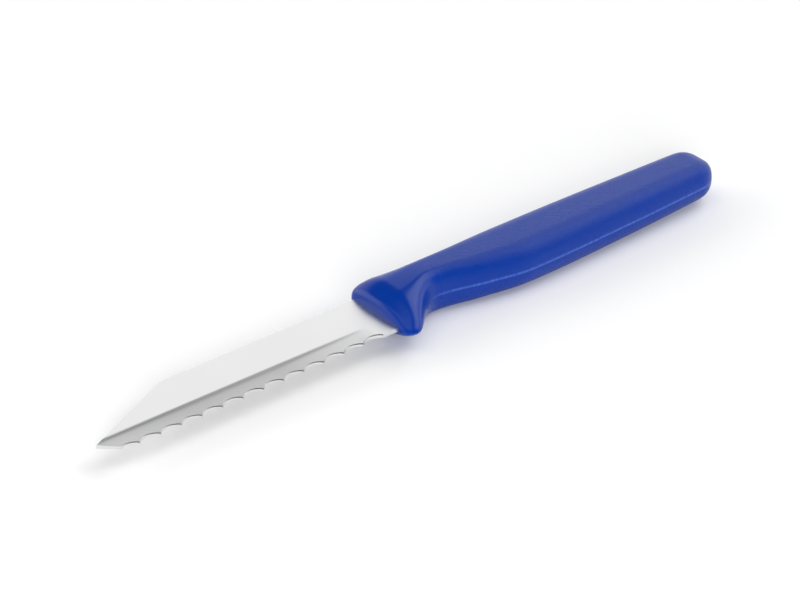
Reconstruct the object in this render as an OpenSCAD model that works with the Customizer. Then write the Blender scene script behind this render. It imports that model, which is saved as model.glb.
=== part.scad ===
// A small serrated kitchen knife with a moulded handle, lying on its flat side.
// X runs from the tip to the butt, Y from the cutting edge to the back, and Z is up.
// The pieces are drawn about the front of the handle (x = 0), the middle line of the
// blade (y = 0) and the middle of its thickness (z = 0). They are then moved together,
// so that the origin lies under the middle of the knife, on the surface that it rests on.

/* [Blade] */
// Length of the blade in front of the handle
blade_l = 85; // [80:1:110]
// Height of the blade, measured at the handle
blade_h = 16.7; // [15.5:0.1:18.5]
// Thickness of the steel sheet
blade_t = 1; // [0.8:0.1:1.4]
// Length of the sloping cut in front of the back
clip_l = 27.4; // [20:0.1:34]
// Depth of the tip below the middle line of the blade
tip_drop = 4.2; // [3.8:0.1:5.5]
// Length of the chin, the short plain edge that runs down and back from the tip
chin_l = 5.8; // [5:0.1:7]
// How far the chin bulges out from a straight line
chin_bulge = 0.25; // [0:0.05:0.5]
// Extra height of the blade at its front, where the cutting edge stands lower
edge_fall = 0.6; // [0:0.1:1]

/* [Serrated edge] */
// Distance from one point of the serration to the next
pitch = 5.96; // [5:0.02:6]
// Depth of each scallop
scallop_depth = 1.2; // [0.8:0.05:1.4]
// Number of scallops
scallops = 13; // [8:1:13]
// Length of the plain edge between the last scallop and the handle
plain_l = 4.6; // [4:0.1:8]
// Width of the small land left between two scallops
point_w = 0.16; // [0.1:0.02:0.3]
// How much wider each scallop is on the ground side, which makes its small bevel
scallop_bevel = 0.2; // [0.05:0.01:0.25]

/* [Hollow grind] */
// Width of the ground band along the cutting edge, measured at the handle
grind_w = 4.7; // [4:0.1:6]
// Thickness of the steel that the grind leaves at the cutting edge
edge_t = 0.45; // [0.3:0.05:0.6]
// Radius of the wheel that ground the hollow
wheel_r = 40; // [30:1:60]
// Distance from the handle at which the wheel starts to lift
grind_out = 14; // [12:1:20]
// Distance from the handle at which the ground band ends
grind_end = 5; // [3:0.5:8]

/* [Tang] */
// Length of the tang, from the front of the handle
tang_l = 78; // [72:1:88]
// Height of the tang
tang_h = 6.5; // [5:0.1:7]
// Height of the tang's middle line above that of the blade
tang_rise = 3; // [2.4:0.1:3.6]
// Depth inside the guard at which the blade's full height ends
shoulder_l = 4; // [3:0.1:5]
// Size of the cut corners of the tang, at the shoulders and at its end
tang_corner = 1; // [0.5:0.1:1.5]
// Diameter of the holes that the plastic fills
anchor_d = 3.6; // [2:0.1:4]
// Number of those holes
anchors = 3; // [2:1:3]
// Distance of the first hole from the front of the handle
anchor_start = 26; // [20:1:30]
// Distance of the last hole from the tang's end
anchor_gap = 14; // [8:1:16]

/* [Handle] */
// Length of the handle
handle_l = 107; // [100:1:120]
// Thickness of the handle between its flat sides
handle_t = 11.8; // [11:0.1:13]
// Height of the handle's back above the middle line, at its very front
front_rise = 8.4; // [8.4:0.1:9.4]
// The same height at the neck, behind the guard
neck_rise = 8.2; // [7.8:0.1:9.2]
// The same height at the belly, the widest stretch
belly_rise = 9.5; // [9:0.1:10.5]
// The same height at the butt
butt_rise = 9.4; // [8.5:0.1:10.5]
// Depth of the handle below the middle line, at its very front
front_drop = 9.2; // [8.8:0.1:10]
// Depth of the guard's heel below the middle line, before its corner is rounded
heel_drop = 12.6; // [11.5:0.1:14]
// Depth of the neck below the middle line
neck_drop = 2.3; // [2:0.1:3.5]
// Depth of the belly below the middle line
belly_drop = 7.2; // [6:0.1:8]
// Depth of the butt below the middle line
butt_drop = 3.9; // [3:0.1:5]
// Thickness of the butt, before its rounding
butt_t = 9.5; // [8.5:0.1:11]
// Length of the rounded butt, seen on its flat side
butt_l = 7; // [6:0.1:9]
// Length of the rounded butt, seen on its back
butt_edge_l = 5.6; // [4:0.1:7]

/* [Places along the handle] */
// Distance from the front of the handle to the heel
heel_x = 3.1; // [2.8:0.1:5]
// Distance from the front to the neck
neck_x = 17; // [15:0.5:19]
// Distance from the front to the belly
belly_x = 43; // [40:0.5:48]
// Distance from the front at which the handle starts to thin towards the butt
thin_x = 50; // [48:1:66]

/* [Guard] */
// Length of the rounding at the front of the guard
nose_round_l = 1.6; // [1.2:0.1:3]
// Distance from the front to the crease where the guard's slope ends, at the handle's back
crease_back_x = 4.6; // [3.5:0.1:7]
// The same distance at the heel
crease_heel_x = 5; // [3.5:0.1:9]
// Height of the plastic lip that stands against the steel
lip_t = 0.2; // [0.15:0.05:0.5]
// Radius of the guard's front corner at the back
back_corner_r = 3.2; // [2.8:0.1:4.5]
// Radius of the guard's front corner at the heel
heel_corner_r = 5; // [3.5:0.1:6.5]
// Distance over which the guard's oval section turns into the flat-sided one
blend_l = 17; // [12:0.5:22]

/* [Hidden] */

// Facets of a whole circle
$fn = 96;
// Steps that a quarter of the handle's section, its nose, its length and its butt are cut into
corner_steps = 12;
nose_steps = 22;
body_steps = 56;
butt_steps = 14;
// Steps that the chin is cut into
chin_steps = 8;
// Overrun of every cut
over = 1;

// Flat part of each side of the handle, as a share of its height there
flat_share = 0.33;
// Place and depth of the swell between neck and belly, as shares of their distance and depth
swell_x_share = 0.53;
swell_share = 0.6;
// Place and depth of the fall between belly and butt, in the same way
fall_x_share = 0.55;
fall_share = 0.41;
// Part of the butt's rounding that is drawn before it ends in a small flat, as a share
butt_end_share = 0.995;
// Part of the guard's thickness that its front rounding reaches, and part that is left for
// the slow rise behind the crease, at the heel, as shares
nose_round_share = 0.5;
rise_share = 0.5;
// Softness of the crease, as a share of the slope's length
crease_share = 0.3;
// Exponents of the rounded forms: 2 is round, less is more pointed, more is squarer
guard_power = 1.5;
lip_power = 0.5;
side_power = 2.3;
nose_power = 2.4;
butt_power = 2.1;
thin_power = 1.5;

back_y = blade_h / 2;
edge_y = -blade_h / 2;
clip_x = clip_l - blade_l;
chin_x = chin_l - blade_l;
tang_top_y = tang_rise + tang_h / 2;
tang_low_y = tang_rise - tang_h / 2;

// Radius of the circle through the ends of a chord c long that rises d above the chord
function chord_r(c, d) = (c * c / 4 + d * d) / (2 * d);

// The number between 0 and 1 that is nearest to t
function limited(t) = max(0, min(1, t));

// Goes from 0 to 1 as t does, and starts and ends level
function eased(t) = let (u = limited(t)) u * u * (3 - 2 * u);

// The value at share t of the way from a to b
function between(a, b, t) = a + (b - a) * t;

// Height of a quarter of a rounded form at t, from 1 at its middle to 0 at its end
function bulge(t, power) = pow(1 - pow(limited(t), power), 1 / power);

// The lesser of a and b, rounded off where they are nearly the same
function lesser(a, b, soft) =
    let (near = max(soft - abs(a - b), 0) / soft)
    min(a, b) - near * near * soft / 4;

// How far a quarter round of radius r draws a line in, at distance x from its end
function drawn_in(r, x) = r * (1 - bulge(1 - x / r, 2));

// Slope of a smooth line through the points p at point i, level where the line turns
function slope(p, i) =
    let (
        last = len(p) - 1,
        before = i > 0 ? (p[i][1] - p[i - 1][1]) / (p[i][0] - p[i - 1][0]) : 0,
        after = i < last ? (p[i + 1][1] - p[i][1]) / (p[i + 1][0] - p[i][0]) : 0
    )
    i == 0 ? after
        : i == last ? before
        : before * after <= 0 ? 0
        : 2 * before * after / (before + after);

// Number of the stretch of the line p that holds x
function stretch(p, x, i = 0) = i >= len(p) - 2 || x < p[i + 1][0] ? i : stretch(p, x, i + 1);

// Height at x of a smooth line through the points p
function line_at(p, x) =
    let (
        i = stretch(p, x),
        l = p[i + 1][0] - p[i][0],
        t = (x - p[i][0]) / l,
        bend = (1 - t) * slope(p, i) - t * slope(p, i + 1)
    )
    between(p[i][1], p[i + 1][1], eased(t)) + l * t * (1 - t) * bend;

// Height of the line of the cutting edge at x
function edge_at(x) = edge_y + edge_fall * x / blade_l;

// The chin, from the tip down to the line of the cutting edge
chin_points = [
    for (i = [0:chin_steps])
        let (
            t = i / chin_steps,
            a = [-blade_l, -tip_drop],
            b = [chin_x, edge_at(chin_x)],
            outward = [b[1] - a[1], a[0] - b[0]] / norm(b - a)
        )
        between(a, b, t) + outward * chin_bulge * 4 * t * (1 - t)
];

// The handle's back and belly lines, seen on its flat side
back_line = [
    [0, front_rise + back_corner_r],
    [neck_x, neck_rise],
    [belly_x, belly_rise],
    [handle_l, butt_rise]
];
belly_line = [
    [0, -front_drop - heel_corner_r],
    [heel_x, -heel_drop],
    [neck_x, -neck_drop],
    [between(neck_x, belly_x, swell_x_share), -between(neck_drop, belly_drop, swell_share)],
    [belly_x, -belly_drop],
    [between(belly_x, handle_l, fall_x_share), -between(belly_drop, butt_drop, fall_share)],
    [handle_l, -butt_drop]
];

// Height of the handle's back and of its belly at x, before the butt is rounded
function back_at(x) = line_at(back_line, x) - drawn_in(back_corner_r, x);
function belly_at(x) = line_at(belly_line, x) + drawn_in(heel_corner_r, x);

// What the handle keeps of its size at x, where its last length l is rounded
function butt_keep(x, l) = bulge(butt_end_share * (x - handle_l + l) / l, butt_power);

// Middle and half of the handle's height at x
function middle_at(x) = (back_at(x) + belly_at(x)) / 2;
function reach_at(x) = butt_keep(x, butt_l) * (back_at(x) - belly_at(x)) / 2;

// Half of the handle's thickness at x, before the guard's nose is formed
function half_t_at(x) =
    let (thin = pow(limited((x - thin_x) / (handle_l - thin_x)), thin_power))
    butt_keep(x, butt_edge_l) * between(handle_t, butt_t, thin) / 2;

// Part of that thickness that the guard's nose has at x, at the share down of its height
// below the back: a round front, a slope up to a crease, and towards the heel a slow rise
function nose_at(x, down) =
    let (
        ramp = lesser(x / between(crease_back_x, crease_heel_x, down), 1, crease_share),
        rest = between(ramp, eased(x / blend_l), rise_share * down)
    )
    between(bulge(1 - x / nose_round_l, nose_power), rest, 1 - nose_round_share);

// A point of the handle's skin at x, in one quarter of its section: side is 1 towards the
// back, up is 1 on the upper side, and a is the angle from the handle's edge to its flat
function skin_point(x, side, up, a) =
    let (
        shape = side > 0 ? 1 : eased(x / blend_l),
        power = between(guard_power, side_power, shape),
        out = side * between(flat_share * shape, 1, pow(cos(a), 2 / power)),
        nose = nose_at(x, (1 - out) / 2),
        lip = (blade_t / 2 + lip_t) * pow(sin(a), lip_power)
    )
    [
        x,
        middle_at(x) + reach_at(x) * out,
        up * between(lip, half_t_at(x) * pow(sin(a), 2 / power), nose)
    ];

// The places of a section's points: back and belly on the upper side, then underneath
angles = [for (i = [0:corner_steps]) 90 * i / corner_steps];
places = [
    for (i = [0:corner_steps]) [1, 1, angles[i]],
    for (i = [0:corner_steps]) [-1, 1, angles[corner_steps - i]],
    for (i = [1:corner_steps]) [-1, -1, angles[i]],
    for (i = [0:corner_steps - 1]) [1, -1, angles[corner_steps - i]]
];

// The sections, close together where the nose and the butt are round
butt_start = handle_l - butt_l;
sections = [
    for (i = [0:nose_steps - 1]) blend_l * pow(i / nose_steps, 2),
    for (i = [0:body_steps - 1]) between(blend_l, butt_start, i / body_steps),
    for (i = [0:butt_steps]) butt_start + butt_l * sin(90 * i / butt_steps)
];
ring = len(places);
skin_points = [for (x = sections) for (p = places) skin_point(x, p[0], p[1], p[2])];
skin_faces = [
    [for (i = [0:ring - 1]) i],
    for (s = [0:len(sections) - 2]) for (i = [0:ring - 1])
        let (a = s * ring + i, b = s * ring + (i + 1) % ring)
        each [[a, a + ring, b], [b, a + ring, b + ring]],
    [for (i = [0:ring - 1]) len(skin_points) - 1 - i]
];

// Moves the pieces so that the origin lies under the middle of the whole knife
module placed() {
    highest = max([for (x = sections) back_at(x)]);
    lowest = min([for (x = sections) belly_at(x)]);
    translate([(blade_l - handle_l) / 2, -(highest + lowest) / 2, handle_t / 2])
        children();
}

// The flat steel: blade and tang in one sheet, with the holes that anchor the handle
module steel_blank() {
    difference() {
        linear_extrude(blade_t, center = true)
            polygon([
                each chin_points,
                [shoulder_l, edge_at(shoulder_l)],
                [shoulder_l, tang_low_y - tang_corner],
                [shoulder_l + tang_corner, tang_low_y],
                [tang_l - tang_corner, tang_low_y],
                [tang_l, tang_low_y + tang_corner],
                [tang_l, tang_top_y - tang_corner],
                [tang_l - tang_corner, tang_top_y],
                [shoulder_l + tang_corner, tang_top_y],
                [shoulder_l, tang_top_y + tang_corner],
                [shoulder_l, back_y],
                [clip_x, back_y]
            ]);
        for (i = [0:anchors - 1])
            translate([between(anchor_start, tang_l - anchor_gap, i / (anchors - 1)), tang_rise, 0])
                cylinder(h = blade_t + 2 * over, d = anchor_d, center = true);
    }
}

// The round cuts along the edge, a little wider on the ground side of the steel
module scallop_cuts() {
    r = chord_r(pitch - point_w, scallop_depth);
    flare = scallop_bevel / edge_t;
    for (i = [0:scallops - 1]) {
        x = -plain_l - (i + 0.5) * pitch;
        translate([x, edge_at(x) + scallop_depth - r, -blade_t / 2 - over])
            cylinder(
                h = edge_t + 2 * over,
                r1 = r - flare * over,
                r2 = r + flare * (edge_t + over)
            );
    }
}

// The wheel that ground the band along the edge, and that lifted off near the handle.
// Its rim passes through the band's upper border and through the top of the thin edge.
module grinding_wheel() {
    drop = blade_t - edge_t;
    chord = norm([grind_w, drop]);
    height = sqrt(pow(wheel_r, 2) - pow(chord / 2, 2));
    wheel_y = edge_y + grind_w / 2 - height * drop / chord;
    wheel_z = blade_t / 2 - drop / 2 + height * grind_w / chord;
    lift = drop * grind_out / (grind_out - grind_end);
    translate([0, wheel_y, wheel_z])
        rotate([0, -90, 0]) {
            cylinder(h = grind_out, r1 = wheel_r - lift, r2 = wheel_r, $fn = 360);
            translate([0, 0, grind_out])
                cylinder(h = blade_l - grind_out + over, r = wheel_r, $fn = 360);
        }
}

module blade() {
    color("silver")
        placed()
            difference() {
                steel_blank();
                scallop_cuts();
                grinding_wheel();
            }
}

// The plastic is moulded around the tang, so it fills the anchor holes
module handle() {
    color("royalblue")
        placed()
            difference() {
                polyhedron(points = skin_points, faces = skin_faces, convexity = 6);
                steel_blank();
            }
}

blade();
handle();
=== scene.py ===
import math

import bpy
import numpy as np
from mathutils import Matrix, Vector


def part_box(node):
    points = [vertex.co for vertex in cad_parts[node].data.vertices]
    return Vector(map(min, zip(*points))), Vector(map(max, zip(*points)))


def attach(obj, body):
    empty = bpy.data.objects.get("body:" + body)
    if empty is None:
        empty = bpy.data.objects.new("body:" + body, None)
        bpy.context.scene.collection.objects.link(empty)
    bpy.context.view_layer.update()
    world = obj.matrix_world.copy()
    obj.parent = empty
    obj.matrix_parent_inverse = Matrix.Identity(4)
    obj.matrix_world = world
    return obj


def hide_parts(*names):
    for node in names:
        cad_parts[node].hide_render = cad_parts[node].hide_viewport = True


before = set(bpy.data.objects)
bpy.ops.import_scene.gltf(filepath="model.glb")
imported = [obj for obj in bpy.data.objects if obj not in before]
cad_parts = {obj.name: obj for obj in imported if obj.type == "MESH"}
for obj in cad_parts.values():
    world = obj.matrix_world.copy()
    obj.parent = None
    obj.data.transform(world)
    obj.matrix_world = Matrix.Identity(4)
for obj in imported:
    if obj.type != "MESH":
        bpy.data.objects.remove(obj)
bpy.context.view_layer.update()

# Sizes are in millimetres, drawn as in the part's source: x from the front of the handle,
# y from the middle line of the blade, z from the middle of the steel.
MM = 0.001

BLADE_L = 85.0
BLADE_H = 16.7
BLADE_T = 1.0
CLIP_L = 27.4
TIP_DROP = 4.2
CHIN_L = 5.8
CHIN_BULGE = 0.25
# Length of the chin for each millimetre that it runs along the blade
CHIN_SLANT = 1.29
EDGE_FALL = 0.6
PITCH = 5.96
SCALLOP_DEPTH = 1.2
SCALLOPS = 13
PLAIN_L = 4.6
POINT_W = 0.16
SCALLOP_BEVEL = 0.16
CHIN_BEVEL_SHARE = 0.5
BEVEL_DEPTH = 0.36
# Thickness that is left under the bevel, and radius of the blade's broken edges
LEAST_EDGE = 0.06
RIM_R = 0.07
SHOULDER_L = 4.0
TANG_L = 78.0
TANG_H = 6.5
TANG_RISE = 3.0
TANG_CORNER = 1.0

HANDLE_L = 107.0
HANDLE_T = 11.8
FRONT_RISE = 8.4
NECK_RISE = 8.2
BELLY_RISE = 9.5
BUTT_RISE = 9.4
FRONT_DROP = 9.2
HEEL_DROP = 12.6
NECK_DROP = 2.3
BELLY_DROP = 7.2
BUTT_DROP = 3.9
BUTT_T = 9.5
BUTT_L = 7.0
BUTT_EDGE_L = 5.6
HEEL_X = 3.1
NECK_X = 17.0
BELLY_X = 43.0
THIN_X = 50.0
NOSE_BACK_L = 4.6
NOSE_HEEL_L = 5.0
NOSE_ROUND_L = 1.6
NOSE_ROUND_SHARE = 0.5
NOSE_CREASE_SHARE = 0.3
NOSE_LATE_SHARE = 0.5
LIP_T = 0.2
BACK_CORNER_R = 3.2
HEEL_CORNER_R = 5.0
BLEND_L = 17.0
FLAT_SHARE = 0.33
GUARD_POWER = 1.5
LIP_POWER = 0.5
NOSE_POWER = 2.4
SIDE_POWER = 2.3
BUTT_POWER = 2.1
THIN_POWER = 1.5
SWELL_X_SHARE = 0.53
SWELL_SHARE = 0.6
FALL_X_SHARE = 0.55
FALL_SHARE = 0.41
BUTT_END_SHARE = 0.995

# Where the knife's own frame lies in the scene, taken from the solid blade
blade_low, blade_high = (np.array(c, float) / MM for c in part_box("blade"))
ORIGIN = np.array([
    blade_low[0] + BLADE_L,
    blade_high[1] - BLADE_H / 2,
    (blade_low[2] + blade_high[2]) / 2,
])


def placed(points):
    """Millimetres in the knife's frame to metres in the scene."""
    return (np.asarray(points, float) + ORIGIN) * MM


def smooth(t):
    t = np.clip(t, 0, 1)
    return t * t * (3 - 2 * t)


def bulge(t, power):
    return np.maximum(1 - np.clip(t, 0, 1) ** power, 0) ** (1 / power)


def drawn_in(r, x):
    return r * (1 - bulge(1 - x / r, 2))


def line_at(points, x):
    """Height at x of a smooth line through points, level where the line turns."""
    px, py = np.array(points, float).T
    rise = np.diff(py) / np.diff(px)
    a, b = rise[:-1], rise[1:]
    inner = np.where(a * b > 0, 2 * a * b / np.where(a + b == 0, 1, a + b), 0)
    slopes = np.concatenate([rise[:1], inner, rise[-1:]])
    i = np.clip(np.searchsorted(px, x, side="right") - 1, 0, len(px) - 2)
    span = px[i + 1] - px[i]
    t = (x - px[i]) / span
    bend = (1 - t) * slopes[i] - t * slopes[i + 1]
    return py[i] + (py[i + 1] - py[i]) * smooth(t) + span * t * (1 - t) * bend


# Meshes


def ring_mesh(name, rings, first_cap=True):
    """A closed skin over a list of rings that all have the same number of points."""
    count, size = rings.shape[:2]
    index = np.arange(count * size).reshape(count, size)
    here, there = index[:-1], index[1:]
    quads = np.stack([here, there, np.roll(there, -1, 1), np.roll(here, -1, 1)], -1)
    faces = quads.reshape(-1, 4).tolist()
    if first_cap:
        faces.append(index[0].tolist())
    faces.append(index[-1][::-1].tolist())
    mesh = bpy.data.meshes.new(name)
    mesh.from_pydata(placed(rings.reshape(-1, 3)).tolist(), [], faces)
    mesh.validate()
    mesh.update()
    piece = bpy.data.objects.new(name, mesh)
    bpy.context.collection.objects.link(piece)
    mesh.polygons.foreach_set("use_smooth", [True] * len(mesh.polygons))
    return piece


BACK_LINE = [
    (0, FRONT_RISE + BACK_CORNER_R),
    (NECK_X, NECK_RISE),
    (BELLY_X, BELLY_RISE),
    (HANDLE_L, BUTT_RISE),
]
BELLY_LINE = [
    (0, -FRONT_DROP - HEEL_CORNER_R),
    (HEEL_X, -HEEL_DROP),
    (NECK_X, -NECK_DROP),
    (NECK_X + SWELL_X_SHARE * (BELLY_X - NECK_X), -NECK_DROP - SWELL_SHARE * (BELLY_DROP - NECK_DROP)),
    (BELLY_X, -BELLY_DROP),
    (BELLY_X + FALL_X_SHARE * (HANDLE_L - BELLY_X), -BELLY_DROP + FALL_SHARE * (BELLY_DROP - BUTT_DROP)),
    (HANDLE_L, -BUTT_DROP),
]
# The mould's parting line: a fine, slightly ragged ridge where the two halves of the
# mould met
RIDGE_W = 0.3
BELLY_RIDGE_H = 0.08
BACK_RIDGE_H = 0.04
RIDGE_RAGGED = 0.4
# Where the ridge starts behind the guard, and how far it takes to reach its full height
RIDGE_X = 5.0
RIDGE_GROW_L = 8.0

# Steps that the handle's nose, length and butt are cut into
NOSE_STEPS = 80
BODY_STEPS = 150
BUTT_STEPS = 40


def lesser(a, b, soft):
    """The lesser of a and b, rounded off where they are nearly the same."""
    near = np.maximum(soft - np.abs(a - b), 0) / soft
    return np.minimum(a, b) - near * near * soft / 4


def nose_share(x, down):
    """Share of its full thickness that the guard has at x: a round front, then a slope
    up to a soft crease, and towards the heel a last gentle rise."""
    front = bulge(1 - x / NOSE_ROUND_L, NOSE_POWER)
    slope_l = NOSE_BACK_L + (NOSE_HEEL_L - NOSE_BACK_L) * down
    slope = lesser(x / slope_l, 1.0, NOSE_CREASE_SHARE)
    late = NOSE_LATE_SHARE * down
    rest = (1 - late) * slope + late * smooth(x / BLEND_L)
    return NOSE_ROUND_SHARE * front + (1 - NOSE_ROUND_SHARE) * rest


def handle_rings():
    nose = BLEND_L * np.linspace(0, 1, NOSE_STEPS, endpoint=False) ** 2
    body = np.linspace(BLEND_L, HANDLE_L - BUTT_L, BODY_STEPS, endpoint=False)
    butt = HANDLE_L - BUTT_L + BUTT_L * np.sin(np.linspace(0, math.pi / 2, BUTT_STEPS))
    x = np.concatenate([nose, body, butt])[:, None]
    fine = np.radians(np.array([0, 0.25, 0.5, 0.8, 1.2, 1.7, 2.4, 3.5, 5.0]))
    quarter = np.concatenate([fine, np.radians(np.linspace(7.5, 90, 23))])
    angle = np.concatenate([quarter, quarter[::-1], quarter[1:], quarter[:0:-1]])
    n = len(quarter)
    side = np.array([1] * n + [-1] * n + [-1] * (n - 1) + [1] * (n - 1))
    up = np.array([1] * (2 * n) + [-1] * (2 * n - 2))
    back = line_at(BACK_LINE, x) - drawn_in(BACK_CORNER_R, x)
    belly = line_at(BELLY_LINE, x) + drawn_in(HEEL_CORNER_R, x)
    end = BUTT_END_SHARE * (x - HANDLE_L)
    keep_y = bulge(BUTT_END_SHARE + end / BUTT_L, BUTT_POWER)
    keep_z = bulge(BUTT_END_SHARE + end / BUTT_EDGE_L, BUTT_POWER)
    middle, reach = (back + belly) / 2, keep_y * (back - belly) / 2
    thin = np.clip((x - THIN_X) / (HANDLE_L - THIN_X), 0, 1) ** THIN_POWER
    half = keep_z * (HANDLE_T + (BUTT_T - HANDLE_T) * thin) / 2
    shape = np.where(side > 0, 1, smooth(x / BLEND_L))
    power = GUARD_POWER + (SIDE_POWER - GUARD_POWER) * shape
    flat = FLAT_SHARE * shape
    out = side * (flat + (1 - flat) * np.abs(np.cos(angle)) ** (2 / power))
    share = nose_share(x, (1 - out) / 2)
    lip = (BLADE_T / 2 + LIP_T) * (1 - share) * np.abs(np.sin(angle)) ** LIP_POWER
    z = up * (lip + half * share * np.abs(np.sin(angle)) ** (2 / power))
    ragged = 1 - RIDGE_RAGGED * np.random.default_rng(1).random(x.shape)
    ridge_h = np.where(side > 0, BACK_RIDGE_H, BELLY_RIDGE_H) * ragged
    ridge = ridge_h * np.maximum(1 - np.abs(z) / RIDGE_W, 0) * keep_y
    ridge = ridge * smooth((x - RIDGE_X) / RIDGE_GROW_L) * (np.abs(np.cos(angle)) > 0.5)
    y = middle + reach * out + side * ridge
    return np.stack([np.broadcast_to(x, y.shape), y, z], -1)


# The ground band: how steeply its surface falls, in degrees, at distances below its border
BAND_TOP_Y = -2.75
BAND_MARGIN = 0.2
BAND_STEP = 0.02
BAND_DISTANCE = [0, 0.35, 0.75, 1.1, 1.6, 2.4, 4.0, 7.0]
BAND_TILT = [0, 3.5, 11.0, 9.8, 5.8, 4.8, 4.3, 4.2]
# How much of the band's depth is there, along the blade
BAND_X = [-85, -76, -62, -34, -25, -19, -14, -10, -6, 3]
BAND_KEEP = [0.75, 0.85, 1.0, 1.0, 0.8, 0.66, 0.52, 0.36, 0.0, 0.0]


def band_depth(x, y):
    below = np.arange(0, BAND_DISTANCE[-1] + BAND_STEP, BAND_STEP)
    tilt = np.radians(np.interp(below, BAND_DISTANCE, BAND_TILT))
    depth = np.cumsum(np.tan(tilt)) * BAND_STEP
    return np.interp(BAND_TOP_Y - y, below, depth) * np.interp(x, BAND_X, BAND_KEEP)


def edge_line(x):
    return -BLADE_H / 2 + EDGE_FALL * x / BLADE_L


def low_edge(x, wider):
    """The blade's lower outline, with scallops that are wider than at the far face."""
    chord = PITCH - POINT_W
    r = (chord ** 2 / 4 + SCALLOP_DEPTH ** 2) / (2 * SCALLOP_DEPTH)
    y = edge_line(x)
    for i in range(SCALLOPS):
        cx = -PLAIN_L - (i + 0.5) * PITCH
        cy = edge_line(cx) + SCALLOP_DEPTH - r
        arc = cy + np.sqrt(np.maximum((r + wider) ** 2 - (x - cx) ** 2, 0))
        y = np.where(np.abs(x - cx) < PITCH, np.maximum(y, arc), y)
    x0, y0 = -BLADE_L, -TIP_DROP
    x1 = CHIN_L - BLADE_L
    y1 = edge_line(x1)
    t = np.clip((x - x0) / (x1 - x0), 0, 1)
    chin = y0 + (y1 - y0) * t - CHIN_BULGE * 4 * t * (1 - t) * CHIN_SLANT
    chin = chin + wider * CHIN_BEVEL_SHARE
    return np.where(x < x1, np.maximum(y, chin), y)


# Steps that the blade is cut into: a scallop, the chin, the band, the flat and the far face
SCALLOP_STEPS = 36
CHIN_STEPS = 40
BAND_STEPS = 44
FLAT_STEPS = 8
FAR_STEPS = 6


def blade_rings():
    step = PITCH / SCALLOP_STEPS
    points = [-PLAIN_L - i * PITCH / SCALLOP_STEPS for i in range(SCALLOPS * SCALLOP_STEPS + 1)]
    for i in range(SCALLOPS + 1):
        points += [-PLAIN_L - i * PITCH + POINT_W / 2, -PLAIN_L - i * PITCH - POINT_W / 2]
    points += np.arange(-PLAIN_L + step, SHOULDER_L, step).tolist() + [SHOULDER_L]
    points += np.linspace(-BLADE_L, min(points), CHIN_STEPS)[:-1].tolist()
    x = np.array(sorted(p for p in points if p >= -BLADE_L))[:, None]
    x = x[np.concatenate([[True], np.diff(x[:, 0]) > 0.01])]
    top_z, low_z = BLADE_T / 2, -BLADE_T / 2
    clip_x = CLIP_L - BLADE_L
    clip = -TIP_DROP + (BLADE_H / 2 + TIP_DROP) * (x + BLADE_L) / CLIP_L
    high = np.where(x < clip_x, clip, BLADE_H / 2)
    low = np.minimum(low_edge(x, 0), high)
    ground = np.minimum(low_edge(x, SCALLOP_BEVEL), high)
    rim = np.minimum(RIM_R, (high - ground) / 3)
    low_here = top_z - band_depth(x, ground)
    bevel_z = np.maximum(low_here - BEVEL_DEPTH, low_z + LEAST_EDGE)
    rows = [(low, bevel_z)]
    band_end = np.minimum(np.maximum(BAND_TOP_Y + BAND_MARGIN, ground), high - rim)
    for t in np.linspace(0, 1, BAND_STEPS) ** 0.9:
        y = ground + (band_end - ground) * t
        rows.append((y, top_z - band_depth(x, y)))
    for t in 1 - np.linspace(1, 0, FLAT_STEPS)[1:] ** 3:
        y = band_end + (high - rim - band_end) * t
        rows.append((y, top_z - band_depth(x, y)))
    top_here = top_z - band_depth(x, high)
    for turn in np.radians([30, 60, 90]):
        rows.append((high - rim + rim * math.sin(turn), top_here - rim + rim * math.cos(turn)))
    for turn in np.radians([0, 30, 60, 90]):
        rows.append((high - rim + rim * math.cos(turn), low_z + rim - rim * math.sin(turn)))
    for t in np.linspace(0, 1, FAR_STEPS)[1:] ** 3:
        rows.append((high - rim + (low - high + rim) * t, low_z))
    ring = [np.stack([x, y, z + 0 * x], -1)[:, 0] for y, z in rows]
    return np.stack(ring, 1)[:, ::-1]


def tang_rings():
    """The hidden tang, as deep as the steel, cut at its corners."""
    low, high = TANG_RISE - TANG_H / 2, TANG_RISE + TANG_H / 2
    shoulders = (-BLADE_H / 2, BLADE_H / 2)
    stations = [
        (SHOULDER_L - 0.05, *shoulders),
        (SHOULDER_L, *shoulders),
        (SHOULDER_L + 0.01, low - TANG_CORNER, high + TANG_CORNER),
        (SHOULDER_L + TANG_CORNER, low, high),
        (TANG_L - TANG_CORNER, low, high),
        (TANG_L, low + TANG_CORNER, high - TANG_CORNER),
    ]
    half = BLADE_T / 2
    rings = [
        [(x, a, -half), (x, a, half), (x, b, half), (x, b, -half)] for x, a, b in stations
    ]
    return np.array(rings)[:, ::-1]


# Materials


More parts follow.
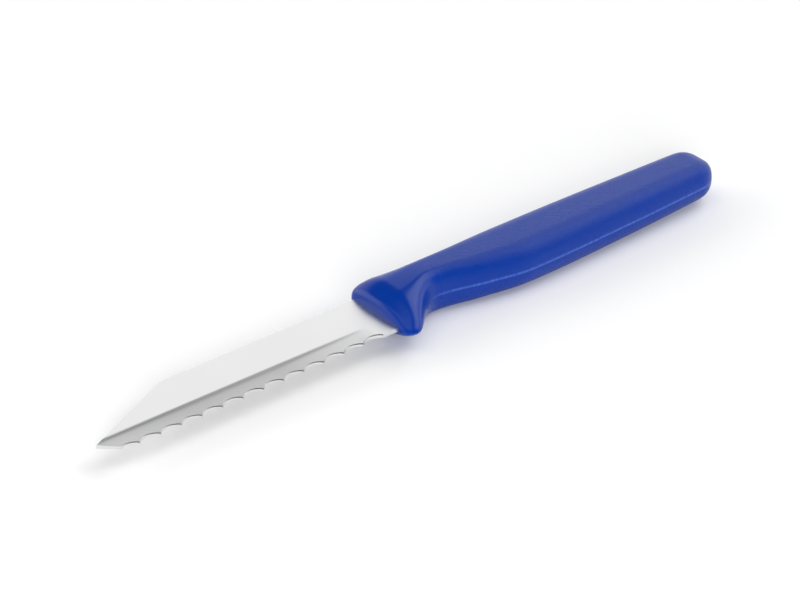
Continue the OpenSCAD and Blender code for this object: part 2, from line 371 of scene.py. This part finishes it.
class Nodes:
    """Short names for the nodes that the materials and the surroundings are made of."""

    def __init__(self, tree):
        self.tree = tree
        tree.nodes.clear()

    def add(self, kind, **settings):
        node = self.tree.nodes.new(kind)
        for key, value in settings.items():
            if key in node.inputs:
                node.inputs[key].default_value = value
            else:
                setattr(node, key, value)
        return node

    def join(self, out, into):
        self.tree.links.new(out, into)

    def math(self, operation, *values):
        node = self.add("ShaderNodeMath", operation=operation)
        for socket, value in zip(node.inputs, values):
            if isinstance(value, (int, float)):
                socket.default_value = value
            else:
                self.join(value, socket)
        return node.outputs[0]

    def vector(self, operation, *values, out=0):
        node = self.add("ShaderNodeVectorMath", operation=operation)
        for socket, value in zip(node.inputs, values):
            if isinstance(value, (tuple, list)):
                socket.default_value = value
            else:
                self.join(value, socket)
        return node.outputs[out]

    def ramp(self, value, low, high, to_low=0.0, to_high=1.0):
        node = self.add("ShaderNodeMapRange", interpolation_type="SMOOTHSTEP")
        limits = {"From Min": low, "From Max": high, "To Min": to_low, "To Max": to_high}
        for key, setting in limits.items():
            node.inputs[key].default_value = setting
        self.join(value, node.inputs["Value"])
        return node.outputs["Result"]

    def noise(self, vector, scale, detail=3.0, roughness=0.5):
        node = self.add("ShaderNodeTexNoise")
        node.inputs["Scale"].default_value = scale
        node.inputs["Detail"].default_value = detail
        node.inputs["Roughness"].default_value = roughness
        self.join(vector, node.inputs["Vector"])
        return node.outputs["Fac"]

    def mix(self, factor, a, b):
        node = self.add("ShaderNodeMix", data_type="RGBA")
        self.join(factor, node.inputs["Factor"])
        for socket, value in ((node.inputs[6], a), (node.inputs[7], b)):
            if isinstance(value, (tuple, list)):
                socket.default_value = (*value, 1.0)
            else:
                self.join(value, socket)
        return node.outputs[2]

    def bump(self, height, distance, strength=1.0):
        node = self.add("ShaderNodeBump")
        node.inputs["Distance"].default_value = distance
        node.inputs["Strength"].default_value = strength
        self.join(height, node.inputs["Height"])
        return node.outputs["Normal"]


def new_material(name):
    material = bpy.data.materials.new(name)
    material.use_nodes = True
    return material, Nodes(material.node_tree)


STEEL_DARK = (0.72, 0.72, 0.725)
STEEL_LIGHT = (0.745, 0.745, 0.745)
STEEL_ROUGH = 0.22
PLASTIC_DARK = (0.001, 0.031, 0.265)
PLASTIC_LIGHT = (0.0015, 0.035, 0.295)
# Paler blue painted along the parting line as a highlight
SEAM_HIGHLIGHT_BLUE = (0.05, 0.12, 0.5)
GUARD_ROUGH = 0.16
GRIP_ROUGHER = 0.14
# Ends of the stretch over which the smooth guard turns into the grained grip
GRIP_START = 10.0
GRIP_FULL = 24.0


def steel_material():
    material, n = new_material("ground_steel")
    place = n.add("ShaderNodeTexCoord").outputs["Object"]
    # Lines of the fine grinding run along the blade
    lines = n.noise(n.vector("MULTIPLY", place, (25.0, 2200.0, 800.0)), 1.0, 1.0)
    long_lines = n.noise(n.vector("MULTIPLY", place, (8.0, 700.0, 300.0)), 1.0, 1.0)
    cloud = n.noise(place, 60.0, 2.0)
    tone = n.math("ADD", n.math("MULTIPLY", lines, 0.5), n.math("MULTIPLY", long_lines, 0.5))
    colour = n.mix(tone, STEEL_DARK, STEEL_LIGHT)
    rough = n.math("ADD", STEEL_ROUGH, n.math("MULTIPLY", tone, 0.02))
    rough = n.math("ADD", rough, n.math("MULTIPLY", cloud, 0.025))
    shader = n.add("ShaderNodeBsdfPrincipled")
    shader.inputs["Metallic"].default_value = 1.0
    n.join(colour, shader.inputs["Base Color"])
    n.join(rough, shader.inputs["Roughness"])
    # The fine lines spread what the steel mirrors along the blade
    shader.inputs["Anisotropic"].default_value = 0.9
    n.join(n.add("ShaderNodeCombineXYZ", X=1.0).outputs[0], shader.inputs["Tangent"])
    n.join(n.bump(lines, 0.004 * MM, 0.1), shader.inputs["Normal"])
    n.join(shader.outputs[0], n.add("ShaderNodeOutputMaterial").inputs["Surface"])
    return material


def plastic_material():
    material, n = new_material("moulded_plastic")
    place = n.add("ShaderNodeTexCoord").outputs["Object"]
    split = n.add("ShaderNodeSeparateXYZ")
    n.join(place, split.inputs[0])
    # The guard is smoother than the grip, whose grain was spark-eroded into the mould
    grip = n.ramp(split.outputs["X"], (ORIGIN[0] + GRIP_START) * MM, (ORIGIN[0] + GRIP_FULL) * MM)
    grain = n.noise(place, 4500.0, 3.0, 0.6)
    pores = n.noise(place, 1500.0, 2.0, 0.5)
    cloud = n.noise(place, 90.0, 2.0, 0.5)
    height = n.math("MULTIPLY", n.math("ADD", grain, n.math("MULTIPLY", pores, 0.8)), grip)
    colour = n.mix(cloud, PLASTIC_DARK, PLASTIC_LIGHT)
    # The parting line is painted paler in ragged dashes: a painted highlight where its ridge would catch
    # the light
    apart = n.math("ABSOLUTE", n.math("SUBTRACT", split.outputs["Z"], float(ORIGIN[2]) * MM))
    highlight_dashes = n.ramp(n.noise(n.vector("MULTIPLY", place, (1100.0, 0.0, 0.0)), 1.0), 0.35, 0.65, 0.4)
    painted_seam_highlight = n.math("MULTIPLY", n.ramp(apart, 0.1 * MM, 0.5 * MM, 1.0, 0.0), highlight_dashes)
    colour = n.mix(n.math("MULTIPLY", painted_seam_highlight, grip), colour, SEAM_HIGHLIGHT_BLUE)
    rough = n.math("ADD", GUARD_ROUGH, n.math("MULTIPLY", grip, GRIP_ROUGHER))
    rough = n.math("ADD", rough, n.math("MULTIPLY", pores, 0.05))
    shader = n.add("ShaderNodeBsdfPrincipled")
    shader.inputs["IOR"].default_value = 1.49
    shader.inputs["Specular IOR Level"].default_value = 0.22
    n.join(colour, shader.inputs["Base Color"])
    n.join(rough, shader.inputs["Roughness"])
    n.join(n.bump(height, 0.09 * MM), shader.inputs["Normal"])
    n.join(shader.outputs[0], n.add("ShaderNodeOutputMaterial").inputs["Surface"])
    return material


# The knife

handle = ring_mesh("moulded_handle", handle_rings())
handle.data.materials.append(plastic_material())
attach(handle, "root")
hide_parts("handle")

blade = ring_mesh("ground_blade", blade_rings(), first_cap=False)
tang = ring_mesh("tang", tang_rings())
steel = steel_material()
for piece in (blade, tang):
    piece.data.set_sharp_from_angle(angle=math.radians(25))
    piece.data.materials.append(steel)
    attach(piece, "root")
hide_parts("blade")

# Camera

AZIMUTH = math.radians(-39.15)
ELEVATION = math.radians(31.43)
TARGET = placed((8.72, 1.775, 0.0))
DISTANCE = 1188.7 * MM
toward = np.array([
    math.sin(AZIMUTH) * math.cos(ELEVATION),
    -math.cos(AZIMUTH) * math.cos(ELEVATION),
    math.sin(ELEVATION),
])
camera_data = bpy.data.cameras.new("camera")
camera_data.sensor_width = 36
camera_data.lens = 225
camera = bpy.data.objects.new("camera", camera_data)
bpy.context.collection.objects.link(camera)
camera.location = (TARGET + toward * DISTANCE).tolist()
camera.rotation_euler = (math.pi / 2 - ELEVATION, 0, AZIMUTH)
bpy.context.scene.camera = camera

# Floor, lamp and surroundings

floor_mesh = bpy.data.meshes.new("floor")
HALF_FLOOR = 20.0
corners = [(-1, -1), (1, -1), (1, 1), (-1, 1)]
floor_mesh.from_pydata([(a * HALF_FLOOR, b * HALF_FLOOR, 0) for a, b in corners], [], [(0, 1, 2, 3)])
floor = bpy.data.objects.new("floor", floor_mesh)
bpy.context.collection.objects.link(floor)

floor_material, n = new_material("white_floor")
paper = n.add("ShaderNodeBsdfDiffuse")
paper.inputs["Color"].default_value = (0.95, 0.95, 0.95, 1)
n.join(paper.outputs[0], n.add("ShaderNodeOutputMaterial").inputs["Surface"])
floor_mesh.materials.append(floor_material)

# The surroundings are a pale studio: a bright backdrop behind the knife, soft lights at
# its right, low at its left and overhead in front, and a dim room between them
BEHIND = (0.631, 0.776, 0.0)
RIGHT = (0.776, -0.631, 0.0)
BACKDROP = 1.4
SOFTBOX = 2.7
SIDE_LIGHT = 1.3
TOP_LIGHT = 1.2
ROOM = 0.03
world = bpy.data.worlds.new("studio")
bpy.context.scene.world = world
world.use_nodes = True
n = Nodes(world.node_tree)
way = n.add("ShaderNodeTexCoord").outputs["Generated"]
split = n.add("ShaderNodeSeparateXYZ")
n.join(way, split.inputs[0])
rise = split.outputs["Z"]
behind = n.vector("DOT_PRODUCT", way, BEHIND, out=1)
right = n.vector("DOT_PRODUCT", way, RIGHT, out=1)


def rise_at(degrees):
    return math.sin(math.radians(degrees))


def rising(start, full):
    """A share that grows from 0 to 1 between two heights above the horizon, in degrees."""
    return n.ramp(rise, rise_at(start), rise_at(full))


def fading(start, end):
    return n.ramp(rise, rise_at(start), rise_at(end), 1.0, 0.0)


backdrop = n.math("MULTIPLY", fading(33, 47), n.ramp(behind, -0.15, 0.2))
softbox = n.math("MULTIPLY", n.math("MULTIPLY", rising(28, 40), fading(56, 68)), n.ramp(right, 0.12, 0.34))
softbox = n.math("MULTIPLY", softbox, n.ramp(behind, -0.2, -0.02))
side_light = n.math("MULTIPLY", fading(30, 42), n.ramp(right, -0.9, -0.65, 1.0, 0.0))
light = n.math("ADD", n.math("MULTIPLY", backdrop, BACKDROP), n.math("MULTIPLY", softbox, SOFTBOX))
light = n.math("ADD", light, n.math("MULTIPLY", side_light, SIDE_LIGHT))
top_light = n.math("MULTIPLY", rising(44, 54), n.ramp(behind, 0.09, 0.21, 1.0, 0.0))
top_light = n.math("MULTIPLY", top_light, n.ramp(behind, -0.6, -0.4))
top_light = n.math("MULTIPLY", top_light, n.ramp(right, 0.15, 0.35, 1.0, 0.0))
light = n.math("ADD", light, n.math("MULTIPLY", top_light, TOP_LIGHT))
surround = n.add("ShaderNodeBackground", Color=(1, 1, 1, 1))
n.join(n.math("ADD", light, ROOM), surround.inputs["Strength"])
n.join(surround.outputs[0], n.add("ShaderNodeOutputWorld").inputs["Surface"])


def soft_lamp(name, place, size, energy):
    """A round lamp that is turned towards the knife and isn't seen in its reflections."""
    data = bpy.data.lights.new(name, "AREA")
    data.shape = "DISK"
    data.size = size
    data.energy = energy
    lamp = bpy.data.objects.new(name, data)
    bpy.context.collection.objects.link(lamp)
    x, y, z = lamp.location = place
    lamp.rotation_euler = (math.atan2(math.hypot(x, y), z), 0, math.atan2(x, -y))
    lamp.visible_glossy = False


# A low lamp beside the camera makes the shadow under the knife paler
soft_lamp("front_fill", (-0.9, -1.5, 0.6), 1.2, 28)

view = bpy.context.scene.view_settings
view.view_transform = "Standard"
